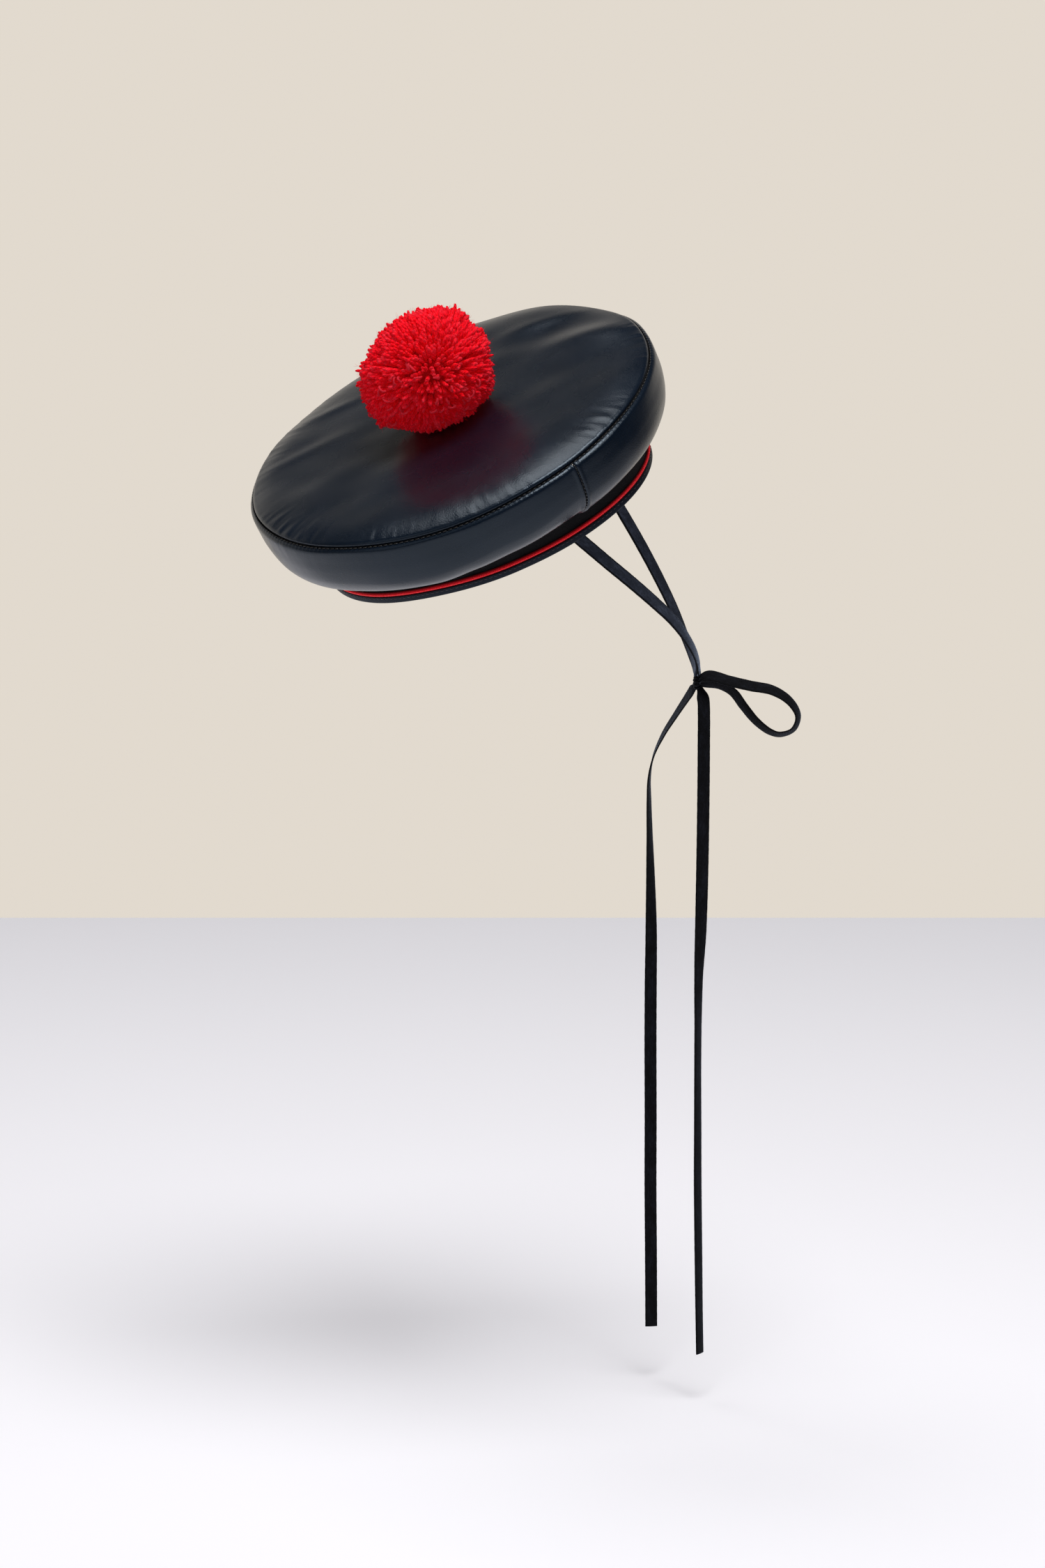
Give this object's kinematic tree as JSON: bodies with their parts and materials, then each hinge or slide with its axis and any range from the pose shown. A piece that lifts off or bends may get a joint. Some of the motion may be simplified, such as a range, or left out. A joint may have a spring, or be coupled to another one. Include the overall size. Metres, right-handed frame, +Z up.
{
  "type": "sailor hat",
  "caption": "Round leather sailor hat with a wool pompom, a braid-trimmed upright band and velvet ribbon ties in a one-loop bow, in its worn form.",
  "frame": {"origin": "middle of the head opening, in the plane of the band's lower edge", "axes": "+Z up when worn, +X the way the wearer looks, +Y to the wearer's left"},
  "size_m": [0.324, 0.2427, 0.6356],
  "materials": {
    "crown_leather": "smooth polished navy leather",
    "band_cloth": "black cloth",
    "binding_leather": "satin navy, topstitched",
    "braid": "ribbed red braid",
    "wool": "cut red wool yarn",
    "velvet_ribbon": "black velvet"
  },
  "bodies": {
    "root": {"crown_top": "crown_leather", "crown_side": "crown_leather", "headband": "band_cloth", "band_binding": "binding_leather", "red_braid": "braid", "pompom": "wool", "strap_right": "velvet_ribbon", "strap_left": "velvet_ribbon", "bow_loop": "velvet_ribbon", "tail_right": "velvet_ribbon", "tail_left": "velvet_ribbon", "bow_knot": "velvet_ribbon"}
  },
  "joints": []
}
